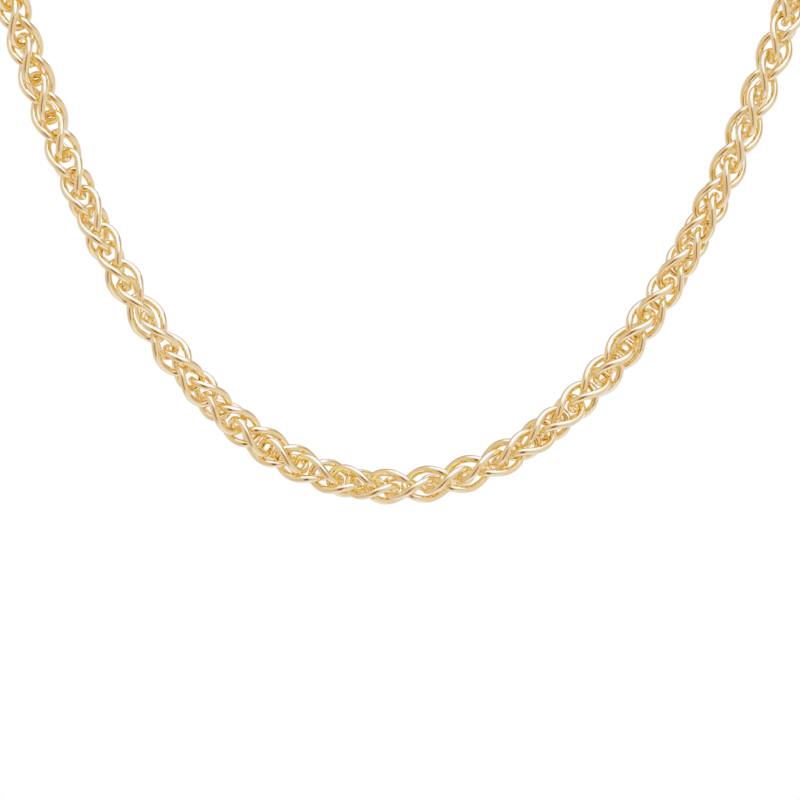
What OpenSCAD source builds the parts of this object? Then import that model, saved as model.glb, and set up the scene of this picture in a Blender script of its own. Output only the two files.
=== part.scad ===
// Wheat-link necklace: a whole loop of loose twisted links, closed by a plain clasp at the nape.
// Each link is an oval ring, twisted about the chain's line. It threads the next link and the one
// after that, neighbours twist opposite ways, and together they make a round, plaited rope.
// +Z is up and the wearer faces -Y. The origin is where the clasp rests on the nape.

/* [Route] */
// Radius of the hanging curve at its lowest point
hang_r = 30.8; // [30:0.2:33]
// Chain on each side from the lowest point to where it leaves the hanging front
front_run = 101; // [98:1:104]
// Depth of the loop, from the clasp to the plane of the hanging front
loop_depth = 75.8; // [74:0.2:78]
// Rise of the chain from the end of the hanging front to the clasp
back_rise = 44; // [42:1:48]
// How far the chain keeps its slope above the front before it turns back
lift = 46; // [44:1:50]
// How far the chain runs straight out of the clasp before it turns forward
nape_run = 48; // [46:1:52]

/* [Links] */
// Thickness of a link's wire
wire_d = 1.1; // [0.9:0.05:1.1]
// Length of a link's middle line, as if its ends were fully round
link_len = 7.55; // [7.45:0.05:7.6]
// Half width of a link's middle line
link_half_w = 2.33; // [2.3:0.01:2.34]
// Turn of a link about the chain's line from one end to the other, in degrees
link_turn = 102; // [96:1:106]
// Shape of a link's sides: 1 is an ellipse, less is fuller towards the ends
side_power = 0.94; // [0.88:0.01:1]
// Share of a link's turn that is made near its middle, the rest being even
waist_turn = 0.36; // [0.25:0.01:0.45]

/* [Clasp] */
// Diameter of the clasp's barrel
clasp_d = 3.6; // [3:0.1:4]
// Length of the clasp's barrel with its domed ends
clasp_len = 9; // [8.6:0.1:9.4]
// Radius of the middle line of each of the clasp's eyes
eye_r = 1.6; // [1.5:0.05:1.7]
// Thickness of an eye's wire
eye_d = 0.9; // [0.7:0.05:0.9]

/* [Hidden] */
$fn = 48;

ring_sides = 10;
wire_sides = 5;
last_link = 76;
// How far the clasp's eye reaches into the last link, from that link's middle
eye_in = 2.4;
// Chain between the middle of the last link and the middle of the clasp
end_run = 9.7;

// The route on one side: a hanging curve, then one smooth bend back round the neck to the clasp.
nape = [0, clasp_d / 2, 0];
front_low_z = hang_r - sqrt(pow(hang_r, 2) + pow(front_run, 2)) - back_rise;
function hang(s) = [
    hang_r * ln(s / hang_r + sqrt(1 + pow(s / hang_r, 2))),
    nape.y - loop_depth,
    front_low_z + sqrt(pow(hang_r, 2) + pow(s, 2)) - hang_r
];
function unit(v) = v / norm(v);
front_end = hang(front_run);
front_slope = unit([hang_r, 0, front_run]);
function back(u) =
    pow(1 - u, 3) * front_end
    + 3 * pow(1 - u, 2) * u * (front_end + lift * front_slope)
    + 3 * (1 - u) * pow(u, 2) * (nape + [nape_run, 0, 0])
    + pow(u, 3) * nape;

// Distance along the bend against its parameter, summed over short steps
back_steps = 80;
back_table = [
    for (
        i = 0, run = 0;
        i <= back_steps;
        i = i + 1, run = run + norm(back(i / back_steps) - back((i - 1) / back_steps))
    ) [run, i / back_steps]
];
back_run = back_table[back_steps][0];
half_run = front_run + back_run;

// A point of the route, by its distance from the lowest point: below 0 on the left side
function side(s) = s < 0 ? -1 : 1;
function one_side(s) = s <= front_run ? hang(s) : back(lookup(s - front_run, back_table));
function route(s) = let (p = one_side(abs(s))) [side(s) * p.x, p.y, p.z];
function along(s) = unit(route(s + 1) - route(s - 1));

// The side of the chain that faces away from the neck: the front's is -Y and the nape's +Y
function away(s) =
    let (round_neck = 180 * max(0, abs(s) - front_run) / back_run)
    [side(s) * sin(round_neck), -cos(round_neck), 0];
function inward(s) = let (o = away(s), t = along(s)) -unit(o - (o * t) * t);
function across(s) = cross(inward(s), along(s));

// Columns: link's number, its distance from the lowest point, its turn about the chain's line.
// Links between two rows are spread evenly between them.
LINKS = [
    [-last_link, end_run - half_run, 321],
    [-30, -87.7, 100],
    [-20, -57.5, 31],
    [-10, -27.75, -55],
    [0, 0.15, -157],
    [10, 27.85, -236],
    [20, 55.95, -309],
    [30, 84.45, -366],
    [last_link, half_run - end_run, -681]
];
function place_of(n) = lookup(n, [for (row = LINKS) [row[0], row[1]]]);
function turn_of(n) = lookup(n, [for (row = LINKS) [row[0], row[2]]]);

// One corner of a link's middle line. It goes round an oval in a plane through the chain's line,
// and the plane turns about that line with the height z above the link's middle.
function corner(n, i) =
    let (
        t = 360 * (i + 0.5) / ring_sides,
        z = link_len / 2 * cos(t),
        r = link_half_w * sign(sin(t)) * pow(abs(sin(t)), side_power),
        even_turn = (1 - waist_turn) * 2 * z / link_len,
        middle_turn = waist_turn * sin(180 * z / link_len),
        hand = n % 2 == 0 ? 1 : -1,
        turn = turn_of(n) + (n % 2 == 0 ? 0 : 90) + hand * link_turn / 2 * (even_turn + middle_turn),
        s = place_of(n)
    )
    route(s) + r * (cos(turn) * across(s) + sin(turn) * inward(s)) + z * along(s);

// The wire's corners round one corner of the middle line, square to the wire's way there
function wire_ring(line, i, middle) =
    let (
        way = unit(line[(i + 1) % ring_sides] - line[(i + ring_sides - 1) % ring_sides]),
        u = unit(cross(way, line[i] - middle)),
        v = cross(way, u)
    )
    [
        for (j = [0:wire_sides - 1])
            let (a = 360 * j / wire_sides) line[i] + wire_d / 2 * (cos(a) * u + sin(a) * v)
    ];

function link_points(n) =
    let (line = [for (i = [0:ring_sides - 1]) corner(n, i)], middle = route(place_of(n)))
    [for (i = [0:ring_sides - 1]) each wire_ring(line, i, middle)];

// Number of a point in the k-th link of a run
function point_at(k, i, j) =
    (k * ring_sides + i % ring_sides) * wire_sides + j % wire_sides;

module links(first, last) {
    polyhedron(
        points = [for (n = [first:last]) each link_points(n)],
        faces = [
            for (k = [0:last - first], i = [0:ring_sides - 1], j = [0:wire_sides - 1]) each [
                [point_at(k, i, j), point_at(k, i + 1, j), point_at(k, i + 1, j + 1)],
                [point_at(k, i, j), point_at(k, i + 1, j + 1), point_at(k, i, j + 1)]
            ]
        ]
    );
}

// The half of the chain on the viewer's left, from the clasp down to the lowest point
module chain_left() {
    color([0.86, 0.74, 0.52]) links(-last_link, -1);
}

// The half of the chain on the viewer's right, from the lowest point up to the clasp
module chain_right() {
    color([0.86, 0.74, 0.52]) links(0, last_link);
}

// One of the clasp's eyes, standing square to the end bend of the link that it holds
module eye(n, end) {
    s = place_of(n);
    t = along(s);
    a = across(s);
    w = inward(s);
    c = route(s) + end * (eye_in + eye_r) * t;
    multmatrix([[t.x, a.x, w.x, c.x], [t.y, a.y, w.y, c.y], [t.z, a.z, w.z, c.z], [0, 0, 0, 1]])
        rotate_extrude()
            translate([eye_r, 0])
                circle(d = eye_d);
}

// The clasp: a domed barrel across the nape, with an eye at each end
module clasp() {
    straight = clasp_len - clasp_d;
    color([0.86, 0.74, 0.52]) {
        translate(nape) {
            rotate([0, 90, 0]) cylinder(d = clasp_d, h = straight, center = true);
            for (x = [-straight / 2, straight / 2]) translate([x, 0, 0]) sphere(d = clasp_d);
        }
        eye(-last_link, -1);
        eye(last_link, 1);
    }
}

chain_left();
chain_right();
clasp();
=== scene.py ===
"""A gold wheat-link necklace, hung as it is worn, closed at the nape by a plain clasp."""

import math

import bpy
import numpy as np
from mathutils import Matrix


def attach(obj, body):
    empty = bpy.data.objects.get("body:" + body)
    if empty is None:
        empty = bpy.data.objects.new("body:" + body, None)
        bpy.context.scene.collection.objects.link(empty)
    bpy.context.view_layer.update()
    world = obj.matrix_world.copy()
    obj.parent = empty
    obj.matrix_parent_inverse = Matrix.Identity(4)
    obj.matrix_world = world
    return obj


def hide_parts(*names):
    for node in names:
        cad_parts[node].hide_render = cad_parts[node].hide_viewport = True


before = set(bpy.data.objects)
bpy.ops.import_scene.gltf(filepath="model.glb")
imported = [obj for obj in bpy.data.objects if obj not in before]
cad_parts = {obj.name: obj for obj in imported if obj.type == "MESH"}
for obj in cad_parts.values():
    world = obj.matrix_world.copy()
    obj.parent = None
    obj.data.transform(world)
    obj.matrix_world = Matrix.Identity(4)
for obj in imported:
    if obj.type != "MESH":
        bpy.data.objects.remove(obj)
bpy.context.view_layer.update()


# The route that the chain hangs along.
# The front hangs by its own weight in the curve of a free chain. From each end of it the chain
# goes on up and back round the neck in one smooth bend, and meets the clasp behind.

MM = 0.001
HANG_R = 30.8 * MM
FRONT_RUN = 101 * MM
LOOP_DEPTH = 75.8 * MM
BACK_RISE = 44 * MM
LIFT = 46 * MM
NAPE_RUN = 48 * MM
CLASP_R = 1.8 * MM
BEND_STEPS = 80


def unit(v):
    """Vectors along the last axis, each divided by its length."""
    return v / np.linalg.norm(v, axis=-1, keepdims=True)


def hang(s):
    """The front at distances s from its lowest point: x = r asinh(s / r), z = root(r^2 + s^2)."""
    end_height = math.hypot(HANG_R, FRONT_RUN)
    x = HANG_R * np.arcsinh(s / HANG_R)
    y = np.full_like(x, CLASP_R - LOOP_DEPTH)
    z = np.hypot(HANG_R, s) - end_height - BACK_RISE
    return np.stack([x, y, z], axis=-1)


def back(u):
    """The bend from the front's end (u = 0) to the clasp (u = 1): a cubic with four handles."""
    slope = unit(np.array([HANG_R, 0, FRONT_RUN]))
    start = hang(np.array(FRONT_RUN))
    nape = np.array([0, CLASP_R, 0])
    handles = [start, start + LIFT * slope, nape + [NAPE_RUN, 0, 0], nape]
    u = np.asarray(u)[..., None]
    weights = [(1 - u) ** 3, 3 * u * (1 - u) ** 2, 3 * u**2 * (1 - u), u**3]
    return sum(w * h for w, h in zip(weights, handles))


bend_u = np.linspace(0, 1, BEND_STEPS + 1)
bend_run = np.append(0, np.cumsum(np.linalg.norm(np.diff(back(bend_u), axis=0), axis=1)))
BACK_RUN = bend_run[-1]
HALF_RUN = FRONT_RUN + BACK_RUN


def route(s):
    """Points at distances s from the lowest point, below 0 on the viewer's left."""
    far = np.abs(s)
    bent = back(np.interp(far - FRONT_RUN, bend_run, bend_u))
    point = np.where((far <= FRONT_RUN)[..., None], hang(far), bent)
    return point * np.stack([np.where(s < 0, -1, 1), np.ones_like(s), np.ones_like(s)], axis=-1)


def route_frame(s):
    """Three directions at distances s: across the chain, in towards the neck, and along it.
    The inward one turns half a circle round the neck between the front's end and the clasp."""
    step = 1 * MM
    along = unit(route(s + step) - route(s - step))
    around = math.pi * np.maximum(0, np.abs(s) - FRONT_RUN) / BACK_RUN
    away = np.stack([np.sign(s) * np.sin(around), -np.cos(around), np.zeros_like(s)], axis=-1)
    inward = -unit(away - np.sum(away * along, axis=-1, keepdims=True) * along)
    return np.cross(inward, along), inward, along


# The camera: square to the plane of the hanging front, and far off, as in a catalogue shot.
# It is turned a little about its own axis, because the picture's horizon is, and its frame is
# 118 mm wide at the chain, so that the clasp and the bend round the neck lie above it.

FRAME_WIDE = 118.3 * MM
CAMERA_FAR = 1.2
FRAME_RIGHT = 1.42 * MM
FRAME_UP = 12.82 * MM
ROLL = math.radians(1.08)
SENSOR = 36

lowest = hang(np.array(0.0))
right = np.array([math.cos(ROLL), 0, math.sin(ROLL)])
up = np.array([-math.sin(ROLL), 0, math.cos(ROLL)])
camera = bpy.data.objects.new("camera", bpy.data.cameras.new("camera"))
camera.data.sensor_width = SENSOR
camera.data.lens = SENSOR * CAMERA_FAR / FRAME_WIDE
camera.location = lowest + FRAME_RIGHT * right + FRAME_UP * up - [0, CAMERA_FAR, 0]
camera.rotation_euler = (math.pi / 2, 0, 0)
camera.rotation_euler.rotate_axis("Z", ROLL)
bpy.context.scene.collection.objects.link(camera)
bpy.context.scene.camera = camera


# The two halves of the chain.
# Each link is a ring of drawn gold wire, bent to an oval and twisted about the chain's line. It
# threads the next two links, and neighbours twist opposite ways and stand square to each other.

LAST_LINK = 76
END_RUN = 9.7 * MM
WIRE_R = 0.545 * MM
LINK_LEN = 7.25 * MM
LINK_HALF_W = 2.22 * MM
LINK_TURN = math.radians(95)
SIDE_POWER = 0.85
WAIST_TURN = 0.3
RING_STEPS = 60
WIRE_STEPS = 12
LINKS = np.array([
    # link's number, distance from the lowest point in mm, turn about the chain's line in degrees
    [-LAST_LINK, (END_RUN - HALF_RUN) / MM, 321],
    [-30, -87.7, 100],
    [-20, -57.5, 31],
    [-10, -27.75, -55],
    [0, 0.15, -157],
    [10, 27.85, -236],
    [20, 55.95, -309],
    [30, 84.45, -366],
    [LAST_LINK, (HALF_RUN - END_RUN) / MM, -681],
])


def middle_line(n, t):
    """The middle of the wire of links n (a column) at angles t (a row) round each ring.
    It is an oval of radius w |sin t|^p at height (l / 2) cos t, in a plane that turns with height,
    partly evenly and partly as a sine, so the turn is quicker at the waist."""
    number, place, turn = LINKS.T
    s = np.interp(n, number, place * MM) + 0 * t
    z = LINK_LEN / 2 * np.cos(t)
    r = LINK_HALF_W * np.sign(np.sin(t)) * np.abs(np.sin(t)) ** SIDE_POWER
    spin = (1 - WAIST_TURN) * 2 * z / LINK_LEN + WAIST_TURN * np.sin(math.pi * z / LINK_LEN)
    hand = np.where(n % 2 == 0, 1, -1)
    angle = np.radians(np.interp(n, number, turn) + 90 * (n % 2)) + hand * LINK_TURN / 2 * spin
    across, inward, along = route_frame(s)
    side = np.cos(angle)[..., None] * across + np.sin(angle)[..., None] * inward
    return route(s) + r[..., None] * side + z[..., None] * along


def closed_tube(line, radius, sides):
    """Round wire along closed lines (line, point, xyz): at each point a circle square to the wire.
    The circle's first direction is square to both the wire and the way in to the line's middle."""
    way = unit(np.roll(line, -1, axis=1) - np.roll(line, 1, axis=1))
    u = unit(np.cross(way, line - line.mean(axis=1, keepdims=True)))
    v = np.cross(way, u)
    a = np.linspace(0, 2 * math.pi, sides, endpoint=False)[:, None]
    ring = np.cos(a) * u[:, :, None] + np.sin(a) * v[:, :, None]
    return line[:, :, None] + radius * ring


def ring_faces(rings, steps, sides):
    """Quads of closed tubes whose points are numbered ring by ring, step by step, side by side."""
    k, i, j = np.meshgrid(np.arange(rings), np.arange(steps), np.arange(sides), indexing="ij")

    def number(step, corner):
        return (k * steps + step % steps) * sides + corner % sides

    quad = [number(i, j), number(i, j + 1), number(i + 1, j + 1), number(i + 1, j)]
    return np.stack(quad, axis=-1).reshape(-1, 4)


def piece(name, points, faces, node, material):
    """A smooth mesh that stands for a CAD node and hides it, rides with the root body and takes
    the given finish.
    """
    mesh = bpy.data.meshes.new(name)
    mesh.from_pydata(points.reshape(-1, 3), [], faces)
    mesh.polygons.foreach_set("use_smooth", np.ones(len(faces), bool))
    mesh.materials.append(material)
    made = bpy.data.objects.new(name, mesh)
    bpy.context.scene.collection.objects.link(made)
    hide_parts(node)
    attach(made, "root")


class Socket:
    """A shader socket whose sums and products add Math nodes to its material."""

    def __init__(self, tree, out):
        self.tree = tree
        self.out = out

    def node(self, kind, settings=None, output=0, **sockets):
        """Adds a node: its settings first, then the values or links of its named sockets."""
        made = self.tree.nodes.new(kind)
        for key, value in (settings or {}).items():
            setattr(made, key, value)
        for key, value in sockets.items():
            spot = made.inputs[int(key[1:]) if key[0] == "i" and key[1:].isdigit() else key]
            if isinstance(value, Socket):
                self.tree.links.new(value.out, spot)
            else:
                spot.default_value = value
        return Socket(self.tree, made.outputs[output])

    def maths(self, operation, *values):
        """Adds a Math node on numbers or sockets."""
        names = {f"i{k}": value for k, value in enumerate(values)}
        return self.node("ShaderNodeMath", {"operation": operation}, **names)

    def __add__(self, other):
        return self.maths("ADD", self, other)

    def __sub__(self, other):
        return self.maths("SUBTRACT", self, other)

    def __rsub__(self, other):
        return self.maths("SUBTRACT", other, self)

    def __mul__(self, other):
        return self.maths("MULTIPLY", self, other)

    __radd__ = __add__
    __rmul__ = __mul__


GOLD_DEEP = (0.94, 0.75, 0.36, 1)
GOLD_PALE = (0.96, 0.77, 0.39, 1)
WEAR_SCALE = 90
HAZE_SCALE = 420
HAZE_DEPTH = 0.1 * MM
HAZE_RELIEF = 0.04
POLISH_ROUGHNESS = 0.025
HAZE_ROUGHNESS = 0.05


def polished_gold(name):
    """Yellow gold with a bright polish, a little rubbed, under a soft haze of fine scratches.
    Its roughness is that of the polish and more where the haze is, and its colour goes from the
    deep gold to the pale one by the wear."""
    material = bpy.data.materials.new(name)
    material.use_nodes = True
    tree = material.node_tree
    shader = tree.nodes["Principled BSDF"].inputs
    shader["Metallic"].default_value = 1
    start = Socket(tree, None)
    spot = start.node("ShaderNodeTexCoord", output="Object")
    haze = start.node("ShaderNodeTexNoise", Vector=spot, Scale=HAZE_SCALE, Detail=3)
    wear = start.node("ShaderNodeTexNoise", Vector=spot, Scale=WEAR_SCALE, Detail=2)
    rough = POLISH_ROUGHNESS + HAZE_ROUGHNESS * haze
    colour = start.node("ShaderNodeMix", {"data_type": "RGBA"}, output=2,
                        i0=wear, i6=GOLD_DEEP, i7=GOLD_PALE)
    bump = start.node("ShaderNodeBump", Height=haze, Strength=HAZE_RELIEF, Distance=HAZE_DEPTH)
    tree.links.new(rough.out, shader["Roughness"])
    tree.links.new(colour.out, shader["Base Color"])
    tree.links.new(bump.out, shader["Normal"])
    return material


link_gold = polished_gold("link gold")
halves = {"chain_left": (-LAST_LINK, -1), "chain_right": (0, LAST_LINK)}
angles = np.linspace(0, 2 * math.pi, RING_STEPS, endpoint=False)[None, :]
for node, (first, last) in halves.items():
    numbers = np.arange(first, last + 1)[:, None]
    wires = closed_tube(middle_line(numbers, angles), WIRE_R, WIRE_STEPS)
    faces = ring_faces(len(numbers), RING_STEPS, WIRE_STEPS)
    piece(node + "_links", wires, faces, node, link_gold)


# The clasp: a plain domed barrel with an eye at each end, one piece of the same gold.
# Its solid already has the right shape, so only its finish is made here.

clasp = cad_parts["clasp"]
clasp.data.materials.clear()
clasp.data.materials.append(polished_gold("clasp gold"))


# The studio: a pale floor in a tent of soft light, white where the camera sees it.
# By direction the tent has a lit ground, a front that is dimmer on the left, a white sweep behind
# with a dim band over it, a dark slit for the camera and its stand, and a bright roof in front.

WHITE = (1, 1, 1, 1)
TENT_LEVEL = 0.745
TENT_TINT = (0.885, 1, 1.6)
TINT_POWER = (0.48, 1, 2)
AGAIN_TINT = (1.09, 1.12, 0.93)
FIRST_DEPTH = 2
TENT_PARTS = [
    # in degrees: azimuth from the front to the viewer's right, elevation, inner and outer radius;
    # then the level
    # the ground, and the front's left and right
    (0, -85, 22, 46, 0.97),
    (-60, -38, 12, 34, 0.64),
    (62, -8, 12, 36, 0.82),
    # the sweep behind, and the band over it
    (150, -8, 20, 45, 1.05),
    (-135, 0, 20, 40, 0.85),
    (180, 32, 14, 28, 0.4),
    (140, 34, 10, 22, 0.42),
    (-142, 34, 10, 22, 0.4),
    (-112, 35, 10, 24, 0.58),
    (88, 40, 12, 26, 0.46),
    # the shade round the slit, and the slit
    (-17, -17, 12, 40, 0.54),
    (-15, -36, 7, 14, 0.12),
    (-15, -23, 7, 14, 0.12),
    (-15, -10, 7, 14, 0.12),
    (-15, 3, 7, 14, 0.12),
    # the roof
    (-8, 66, 30, 38, 1.27),
    (125, 66, 14, 24, 1.2),
    (20, 42, 23, 31, 1.27),
]


def tent_world():
    """A world that is white to the camera and the floor, and lights the metal with the tent.
    Each colour of its light is tint * level ** power, so dim parts are warm and bright ones cool,
    and times again ** (mirrorings - 1), so light that goes from link to link is warmer. A ray
    that was mirrored once meets the tent with a Ray Depth of FIRST_DEPTH."""
    world = bpy.data.worlds.new("tent")
    world.use_nodes = True
    bpy.context.scene.world = world
    sky = world.node_tree.nodes["Background"].inputs
    start = Socket(world.node_tree, None)
    way = start.node("ShaderNodeTexCoord", output="Object")
    level = TENT_LEVEL
    for azimuth, elevation, inner, outer, own in TENT_PARTS:
        turn, rise = math.radians(azimuth), math.radians(elevation)
        flat = math.cos(rise)
        middle = (math.sin(turn) * flat, -math.cos(turn) * flat, math.sin(rise))
        near = start.node("ShaderNodeVectorMath", {"operation": "DOT_PRODUCT"}, output=1,
                          i0=way, i1=middle)
        edges = {"i1": math.cos(math.radians(outer)), "i2": math.cos(math.radians(inner))}
        inside = start.node("ShaderNodeMapRange", {"interpolation_type": "SMOOTHSTEP"},
                            i0=near, **edges)
        level = level + inside * (own - level)
    mirrored = start.node("ShaderNodeLightPath", output="Is Glossy Ray")
    depth = start.node("ShaderNodeLightPath", output="Ray Depth")
    shares = []
    for tint, power, again in zip(TENT_TINT, TINT_POWER, AGAIN_TINT):
        first = tint * start.maths("POWER", level, power)
        shares.append(first * start.maths("POWER", again, depth - FIRST_DEPTH))
    light = start.node("ShaderNodeCombineColor", i0=shares[0], i1=shares[1], i2=shares[2])
    colour = start.node("ShaderNodeMix", {"data_type": "RGBA"}, output=2,
                        i0=mirrored, i6=WHITE, i7=light)
    world.cycles.sampling_method = "NONE"
    start.tree.links.new(colour.out, sky["Color"])


tent_world()

FLOOR_Z = -0.6
FLOOR_HALF = 3.0
FLOOR_COLOUR = (0.75, 0.75, 0.75, 1)

quarters = [(-1, -1), (1, -1), (1, 1), (-1, 1)]
corners = [(x * FLOOR_HALF, y * FLOOR_HALF, FLOOR_Z) for x, y in quarters]
floor_mesh = bpy.data.meshes.new("floor")
floor_mesh.from_pydata(corners, [], [(0, 1, 2, 3)])
floor = bpy.data.objects.new("floor", floor_mesh)
bpy.context.scene.collection.objects.link(floor)
floor.visible_glossy = False
pale = bpy.data.materials.new("pale floor")
pale.use_nodes = True
matt = pale.node_tree.nodes["Principled BSDF"].inputs
matt["Base Color"].default_value = FLOOR_COLOUR
matt["Specular IOR Level"].default_value = 0
floor_mesh.materials.append(pale)

bpy.context.scene.view_settings.view_transform = "Standard"
